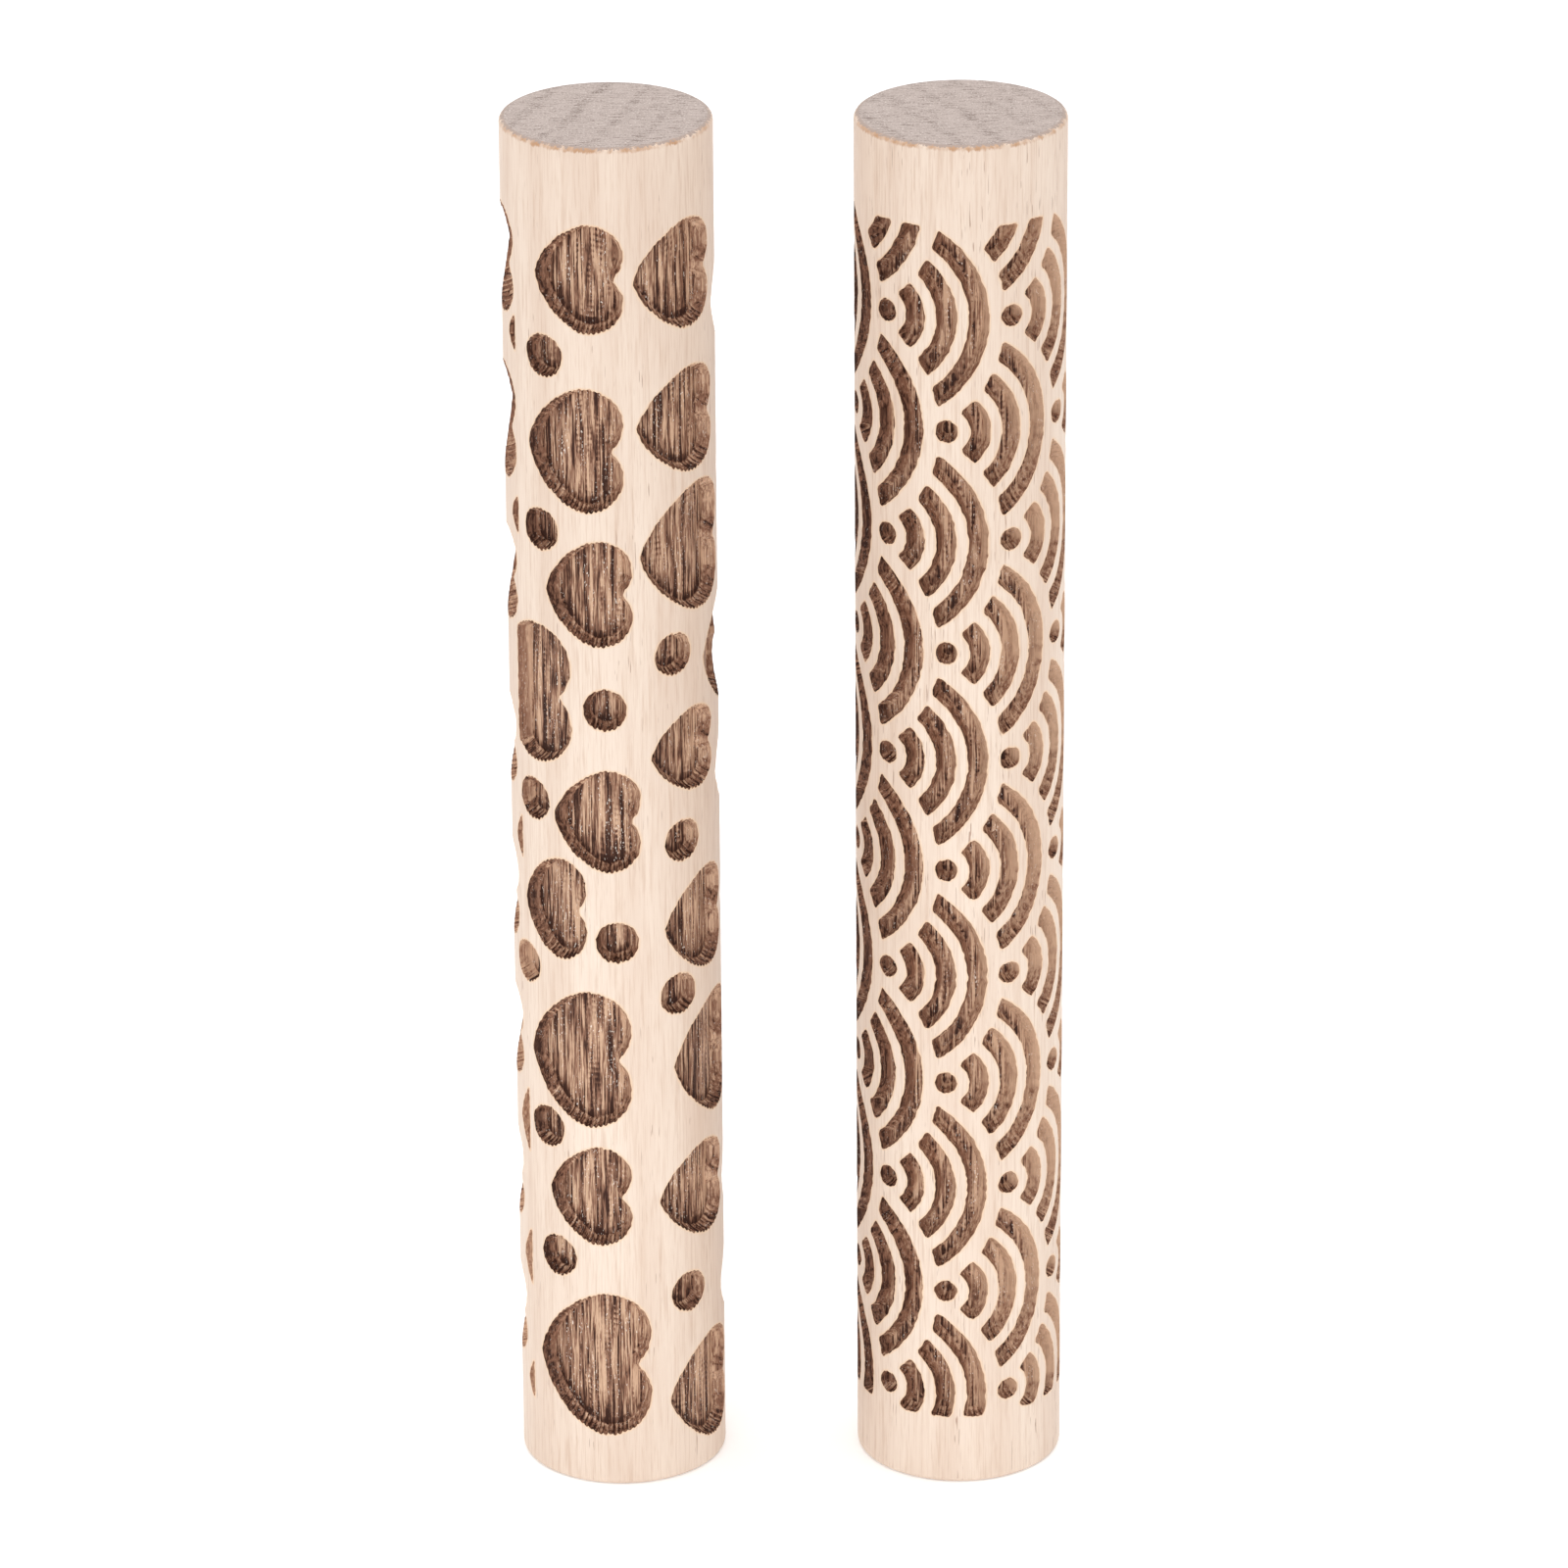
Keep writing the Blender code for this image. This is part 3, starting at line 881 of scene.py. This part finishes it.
def close_end(rod, axis_x, upper):
    """Rounds one rim in small steps and closes the end with a flat face."""
    bpy.ops.object.mode_set(mode="EDIT")
    select_open_edge(rod, upper)
    way = 1 if upper else -1
    centre = (axis_x, 0, ROD_LENGTH if upper else 0)
    for step in range(RIM_STEPS):
        start = math.pi / 2 * step / RIM_STEPS
        end = math.pi / 2 * (step + 1) / RIM_STEPS
        rise = way * RIM_ROUND * (math.sin(end) - math.sin(start))
        before = ROD_RADIUS - RIM_ROUND * (1 - math.cos(start))
        after = ROD_RADIUS - RIM_ROUND * (1 - math.cos(end))
        bpy.ops.mesh.extrude_edges_move(TRANSFORM_OT_translate={"value": (0, 0, rise)})
        bpy.ops.transform.resize(value=(after / before, after / before, 1), center_override=centre)
    bpy.ops.mesh.edge_face_add()
    rod.active_material_index = END_SLOT
    bpy.ops.object.material_slot_assign()
    bpy.ops.mesh.inset(thickness=END_INSET)
    bpy.ops.mesh.inset(thickness=END_INSET)
    bpy.ops.object.mode_set(mode="OBJECT")


print("rims are rounded in", RIM_STEPS, "steps")

# %% [markdown]
# ## Bare beech
# Beech is pale and even, with a pinkish cast. Up close its side shows soft streaks along the grain,
# short flecks where the rays are cut, and dark hairlines where a pore is split open. All of these
# are long and thin, so their noise is squeezed along the rod. Beside the cuts the wood is golden
# from the heat, and its upper rim is sawn grey and scorched in places.

# %% Node helpers
def linear(*channels):
    """A display colour, 0 to 255, as the linear colour that a shader takes."""
    shares = [channel / 255 for channel in channels]
    values = [share / 12.92 if share <= 0.04045 else ((share + 0.055) / 1.055) ** 2.4 for share in shares]
    return (*values, 1)


class WoodFinish:
    """One material, with a short way to add and join its nodes."""

    def __init__(self, name, roughness):
        self.material = bpy.data.materials.new(name)
        self.material.use_nodes = True
        self.tree = self.material.node_tree
        self.shader = self.tree.nodes["Principled BSDF"]
        self.shader.inputs["Roughness"].default_value = roughness
        self.place = self.tree.nodes.new("ShaderNodeTexCoord").outputs["Object"]

    def link(self, source, target):
        self.tree.links.new(source, target)

    def fill(self, node, index, value):
        """Links a socket, or sets a plain value."""
        if isinstance(value, bpy.types.NodeSocket):
            self.link(value, node.inputs[index])
        else:
            node.inputs[index].default_value = value

    def math(self, operation, first, second):
        node = self.tree.nodes.new("ShaderNodeMath")
        node.operation = operation
        self.fill(node, 0, first)
        self.fill(node, 1, second)
        return node.outputs[0]

    def times(self, first, second):
        return self.math("MULTIPLY", first, second)

    def minus(self, first, second):
        return self.math("SUBTRACT", first, second)

    def plus(self, first, *others):
        for other in others:
            first = self.math("ADD", first, other)
        return first

    def swing(self, value, middle, weight):
        """How far a value lies from its middle, times its weight."""
        return self.times(self.minus(value, middle), weight)

    def vector(self, operation, first, second=(0, 0, 0)):
        node = self.tree.nodes.new("ShaderNodeVectorMath")
        node.operation = operation
        self.fill(node, 0, first)
        self.fill(node, 1, second)
        return node.outputs[0]

    def stay_on_skin(self, axis_x):
        """Looks textures up on the round skin straight outside each point, also deep in a cut."""
        height = self.vector("MULTIPLY", self.place, (0, 0, 1))
        sideways = self.vector("SUBTRACT", self.place, (axis_x, 0, 0))
        sideways = self.vector("NORMALIZE", self.vector("MULTIPLY", sideways, (1, 1, 0)))
        sideways = self.vector("MULTIPLY", sideways, (ROD_RADIUS, ROD_RADIUS, 0))
        self.place = self.vector("ADD", sideways, height)

    def grain(self, across, along, detail=2.0, roughness=0.5, offset=0.0, inwards=None):
        """Noise with so many features a millimetre across and along the rod, from 0 to 1."""
        mapping = self.tree.nodes.new("ShaderNodeMapping")
        mapping.inputs["Scale"].default_value = (across / MM, (inwards or across) / MM, along / MM)
        mapping.inputs["Location"].default_value = (offset, offset, offset)
        self.link(self.place, mapping.inputs["Vector"])
        node = self.tree.nodes.new("ShaderNodeTexNoise")
        node.inputs["Scale"].default_value = 1.0
        node.inputs["Detail"].default_value = detail
        node.inputs["Roughness"].default_value = roughness
        self.link(mapping.outputs[0], node.inputs["Vector"])
        return node.outputs["Fac"]

    def between(self, value, low, high):
        """0 below low, 1 above high, smooth between."""
        node = self.tree.nodes.new("ShaderNodeMapRange")
        node.interpolation_type = "SMOOTHSTEP"
        self.fill(node, 0, value)
        node.inputs["From Min"].default_value = low
        node.inputs["From Max"].default_value = high
        return node.outputs["Result"]

    def mix(self, share, first, second):
        """first where share is 0, second where it is 1."""
        node = self.tree.nodes.new("ShaderNodeMix")
        node.data_type = "RGBA"
        self.fill(node, 0, share)
        self.fill(node, 6, first)
        self.fill(node, 7, second)
        return node.outputs[2]

    def attribute(self, name):
        node = self.tree.nodes.new("ShaderNodeAttribute")
        node.attribute_name = name
        return node.outputs["Fac"]

    def bump(self, height, distance, strength):
        node = self.tree.nodes.new("ShaderNodeBump")
        node.inputs["Distance"].default_value = distance
        node.inputs["Strength"].default_value = strength
        self.link(height, node.inputs["Height"])
        self.link(node.outputs[0], self.shader.inputs["Normal"])

    def color(self, value):
        self.link(value, self.shader.inputs["Base Color"])


print("helpers for materials are ready")

# %% [markdown]
# The saw has left the uppermost edge grey, and its heat a ragged brown line below it, in places and
# mostly in front. The rim is found by its height on the rod, which a little noise makes ragged.

# %% The upper rim
RIM_BROWN = linear(188, 146, 112)
RIM_GREY = linear(166, 147, 137)
RIM_RAGGEDNESS = 0.9 * MM


def upper_rim(nodes):
    """How sawn the uppermost edge is, and how scorched the narrow line below it."""
    parts = nodes.tree.nodes.new("ShaderNodeSeparateXYZ")
    nodes.link(nodes.place, parts.inputs[0])
    ragged = nodes.grain(2.6, 0.6, detail=3, roughness=0.7, offset=47.0)
    height = nodes.plus(parts.outputs["Z"], nodes.swing(ragged, 0.5, RIM_RAGGEDNESS))
    sawn = nodes.between(height, ROD_LENGTH - 0.2 * MM, ROD_LENGTH - 0.08 * MM)
    scorch = nodes.between(height, ROD_LENGTH - 0.6 * MM, ROD_LENGTH - 0.32 * MM)
    front = nodes.between(nodes.times(parts.outputs["Y"], -1), -4 * MM, 8 * MM)
    patchy = nodes.between(nodes.grain(0.9, 0.1, detail=2, offset=53.0), 0.32, 0.66)
    return sawn, nodes.times(scorch, nodes.times(front, patchy))


print("the rim is ragged by", RIM_RAGGEDNESS / MM, "mm")

# %% Bare beech
BEECH_PALE = linear(230, 210, 193)
BEECH_TAN = linear(221, 198, 180)
BEECH_FLECK = linear(200, 169, 146)
PORE_BROWN = linear(158, 122, 103)
HEAT_GOLD = linear(230, 194, 156)
BEECH_ROUGHNESS = 0.55
# Features a millimetre across and along, detail, offset, where the feature begins and is full, and
# how strongly it shows: broad streaks, flecks of the rays, hairlines
BEECH_LAYERS = (
    (1.1, 0.05, 3, 0.0, 0.5, 0.75, 0.3),
    (3.6, 0.16, 3, 11.0, 0.5, 0.7, 0.5),
    (7.5, 0.22, 2, 61.0, 0.48, 0.68, 0.3),
)
LAYER_ROUGHNESS = 0.6
PORE_STRENGTH = 0.75
GOLD_STRENGTH = 0.8
GOLD_FADE = 1.4
FIBRE_HEIGHT = 0.025 * MM


def open_pores(nodes, pore_share):
    """Split pores, which come in zones along the rod."""
    pores = nodes.between(nodes.grain(6.5, 0.35, detail=1, offset=23.0), pore_share, pore_share + 0.06)
    zones = nodes.between(nodes.grain(0.3, 0.04, detail=1, offset=31.0), 0.42, 0.62)
    return nodes.times(pores, zones)


def beech(name, pore_share):
    """Bare sanded beech. pore_share is the noise level above which a pore is open."""
    nodes = WoodFinish(name, BEECH_ROUGHNESS)
    broad = nodes.grain(0.22, 0.018, detail=3, offset=3.1)
    wood = nodes.mix(nodes.between(broad, 0.35, 0.7), BEECH_PALE, BEECH_TAN)
    for across, along, detail, offset, begin, full, strength in BEECH_LAYERS:
        layer = nodes.grain(across, along, detail=detail, roughness=LAYER_ROUGHNESS, offset=offset)
        wood = nodes.mix(nodes.times(nodes.between(layer, begin, full), strength), wood, BEECH_FLECK)
    pores = open_pores(nodes, pore_share)
    wood = nodes.mix(nodes.times(pores, PORE_STRENGTH), wood, PORE_BROWN)
    heat = nodes.math("POWER", nodes.attribute("toast"), GOLD_FADE)
    wood = nodes.mix(nodes.times(heat, GOLD_STRENGTH), wood, HEAT_GOLD)
    sawn, scorch = upper_rim(nodes)
    nodes.color(nodes.mix(sawn, nodes.mix(scorch, wood, RIM_BROWN), RIM_GREY))
    fibres = nodes.plus(nodes.grain(7.0, 0.3, detail=2), nodes.times(pores, -0.8))
    nodes.bump(fibres, FIBRE_HEIGHT, 0.6)
    return nodes.material


heart_beech = beech("beech_side_hearts", 0.70)
wave_beech = beech("beech_side_waves", 0.66)
print("bare beech is ready")

# %% [markdown]
# ## Scorched wood
# The laser leaves streaks of char and of cooked wood side by side, because soft and hard grain burn
# unequally. The burn attribute says how dark each point is, painted shade of the left and lower walls
# included, and streaks along the grain vary it. On a wall that runs across the grain, the streaks run
# down the wall, so their noise is looked up on the skin outside. Evenly toasted walls are calmer than
# the floors. Where the fibres glaze, small glints are painted in as bright specks of colour.

# %% Scorched wood
CHAR = linear(56, 28, 17)
COOKED = linear(138, 97, 76)
TOASTED = linear(210, 172, 143)
# Near-white specks of colour: painted glints of glazed fibres.
GLINT_PAINT = linear(250, 236, 222)
SCORCHED_ROUGHNESS = 0.6
SCORCHED_SPECULAR = 0.2
FINE_WEIGHT = 2.6
COARSE_WEIGHT = 1.5
LINE_WEIGHT = 0.5
WALL_CALM = 0.62
CROSSING_UNREST = 0.3
GLINT_PAINT_STRENGTH = 0.8
SCORCH_HEIGHT = 0.16 * MM


def fine_streaks(nodes, crossing, axis_x):
    """Fine streaks along the grain, or down a wall that crosses it."""
    along = nodes.grain(5.0, 0.3, detail=3, roughness=0.7)
    nodes.stay_on_skin(axis_x)
    down = nodes.grain(5.0, 0.3, detail=2, roughness=0.6, offset=41.0)
    return nodes.plus(along, nodes.times(crossing, nodes.minus(down, along)))


def scorched(name, axis_x):
    """Scorched wood, for the cuts of the rod that stands at axis_x."""
    nodes = WoodFinish(name, SCORCHED_ROUGHNESS)
    nodes.shader.inputs["Specular IOR Level"].default_value = SCORCHED_SPECULAR
    coarse = nodes.grain(2.2, 0.05, detail=2, offset=7.0)
    lines = nodes.between(nodes.grain(4.2, 0.05, detail=2, roughness=0.6, offset=37.0), 0.5, 0.68)
    # Where glazed fibres would shine, painted glints are mixed in as bright specks.
    glint_zones = nodes.between(nodes.grain(1.6, 0.12, detail=1, offset=29.0), 0.46, 0.6)
    painted_glints = nodes.between(nodes.grain(8.0, 3.0, detail=1, offset=17.0), 0.65, 0.69)
    crossing = nodes.between(nodes.attribute("crossing"), 0.45, 0.8)
    fine = fine_streaks(nodes, crossing, axis_x)
    side_wall = nodes.plus(nodes.times(crossing, -CROSSING_UNREST), WALL_CALM)
    even = nodes.times(nodes.between(nodes.attribute("toast"), 0.0, 0.9), side_wall)
    unrest = nodes.minus(1.0, even)
    burn = nodes.attribute("burn")
    contrast = nodes.times(nodes.plus(nodes.between(burn, 0.0, 0.35), 0.45), unrest)
    streaks = nodes.plus(
        nodes.swing(fine, 0.5, FINE_WEIGHT),
        nodes.swing(coarse, 0.5, COARSE_WEIGHT),
        nodes.swing(lines, 0.45, LINE_WEIGHT),
    )
    tone = nodes.plus(burn, nodes.times(streaks, contrast))
    wood = nodes.mix(nodes.between(tone, -0.25, 0.42), TOASTED, COOKED)
    wood = nodes.mix(nodes.between(tone, 0.36, 0.92), wood, CHAR)
    # The painted glints, calmer on evenly toasted walls.
    painted_glints = nodes.times(painted_glints, nodes.times(glint_zones, unrest))
    nodes.color(nodes.mix(nodes.times(painted_glints, GLINT_PAINT_STRENGTH), wood, GLINT_PAINT))
    nodes.bump(nodes.times(fine, unrest), SCORCH_HEIGHT, 0.8)
    return nodes.material


burnt_hearts = scorched("scorched_hearts", HEARTS_AXIS)
burnt_waves = scorched("scorched_waves", WAVES_AXIS)
print("scorched wood is ready")

# %% [markdown]
# ## Sawn end grain
# The ends show the wood across its fibres: greyer and darker than the sides, speckled with pores,
# crossed by faint arcs of the growth rings and by the fine parallel marks of the saw. Their grey is
# partly the end grain's own and partly painted shade of the upper face. The marks are noise that is
# squeezed towards the back, so that they run from left to right.

# %% End grain
# The main end colour holds painted shade of the upper face besides the grain's own grey.
END_GREY_AND_SHADE = linear(184, 169, 162)
END_DARK = linear(122, 106, 98)
END_LIGHT = linear(222, 211, 204)
END_ROUGHNESS = 0.8
RING_SPACING = 4.6 * MM
RING_WAVE_SCALE = math.tau / 20 / RING_SPACING  # the Wave node has 20 / tau bands a unit
RING_STRENGTH = 0.15
SPECKLE_WEIGHT = 2.4
CLOUD_WEIGHT = 0.3
SAW_WEIGHT = 2.3
SPECKLE_HEIGHT = 0.1 * MM


def growth_rings(nodes, ring_turn):
    """Bands of the growth rings, turned by so much from the line towards the back."""
    mapping = nodes.tree.nodes.new("ShaderNodeMapping")
    mapping.inputs["Rotation"].default_value = (0, 0, ring_turn)
    nodes.link(nodes.place, mapping.inputs["Vector"])
    rings = nodes.tree.nodes.new("ShaderNodeTexWave")
    rings.wave_type = "BANDS"
    rings.bands_direction = "X"
    rings.inputs["Scale"].default_value = RING_WAVE_SCALE
    rings.inputs["Distortion"].default_value = 3.5
    rings.inputs["Detail"].default_value = 3
    nodes.link(mapping.outputs[0], rings.inputs["Vector"])
    return nodes.between(rings.outputs["Fac"], 0.75, 1.0)


def end_grain(name, ring_turn):
    """The sawn end of a rod."""
    nodes = WoodFinish(name, END_ROUGHNESS)
    speckle = nodes.grain(4.2, 1.0, detail=3, roughness=0.8)
    cloud = nodes.grain(0.35, 1.0, detail=2, offset=5.0)
    saw_marks = nodes.grain(0.5, 1.0, detail=2, roughness=0.7, offset=19.0, inwards=3.4)
    tone = nodes.plus(
        nodes.times(growth_rings(nodes, ring_turn), RING_STRENGTH),
        nodes.swing(speckle, 0.45, SPECKLE_WEIGHT),
        nodes.swing(cloud, 0.5, CLOUD_WEIGHT),
        nodes.swing(saw_marks, 0.5, SAW_WEIGHT),
    )
    wood = nodes.mix(nodes.between(tone, 0.0, 0.8), END_GREY_AND_SHADE, END_DARK)
    fibres = nodes.between(nodes.grain(4.4, 1.0, detail=2, offset=13.0), 0.58, 0.7)
    nodes.color(nodes.mix(nodes.times(fibres, 0.8), wood, END_LIGHT))
    nodes.bump(speckle, SPECKLE_HEIGHT, 0.8)
    return nodes.material


heart_end_grain = end_grain("end_grain_hearts", math.radians(20))
wave_end_grain = end_grain("end_grain_waves", math.radians(-25))
print("end grain is ready")

# %% [markdown]
# ## Putting the rods together
# Each rod gets its three finishes, is wound and closed, and takes the place of its plain node.
# Every edge of a closed rod has exactly two faces, which is counted at the end.

# %% Finish both rods
SHARP_TURN = math.radians(50)


def edge_uses(rod):
    """How many faces meet at each edge."""
    uses = np.zeros(len(rod.data.edges), int)
    edges = np.empty(len(rod.data.loops), np.int32)
    rod.data.loops.foreach_get("edge_index", edges)
    np.add.at(uses, edges, 1)
    return uses


def finish_rod(rod, axis_x, finishes, node):
    """Makes a plate a closed rod with its finishes, and puts it in its node's place."""
    for finish in finishes:
        rod.data.materials.append(finish)
    wind(rod, axis_x)
    close_end(rod, axis_x, True)
    close_end(rod, axis_x, False)
    bpy.ops.object.mode_set(mode="EDIT")
    bpy.ops.mesh.select_all(action="SELECT")
    bpy.ops.mesh.normals_make_consistent(inside=False)
    bpy.ops.object.mode_set(mode="OBJECT")
    bpy.ops.object.shade_smooth_by_angle(angle=SHARP_TURN)
    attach(rod, "root")
    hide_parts(node)
    loose = sum(1 for edge in edge_uses(rod) if edge != 2)
    print(rod.name, len(rod.data.polygons), "faces,", loose, "open or shared edges")


heart_finishes = (heart_beech, burnt_hearts, heart_end_grain)
wave_finishes = (wave_beech, burnt_waves, wave_end_grain)
finish_rod(heart_rod, HEARTS_AXIS, heart_finishes, "heart_roller")
finish_rod(wave_rod, WAVES_AXIS, wave_finishes, "wave_roller")
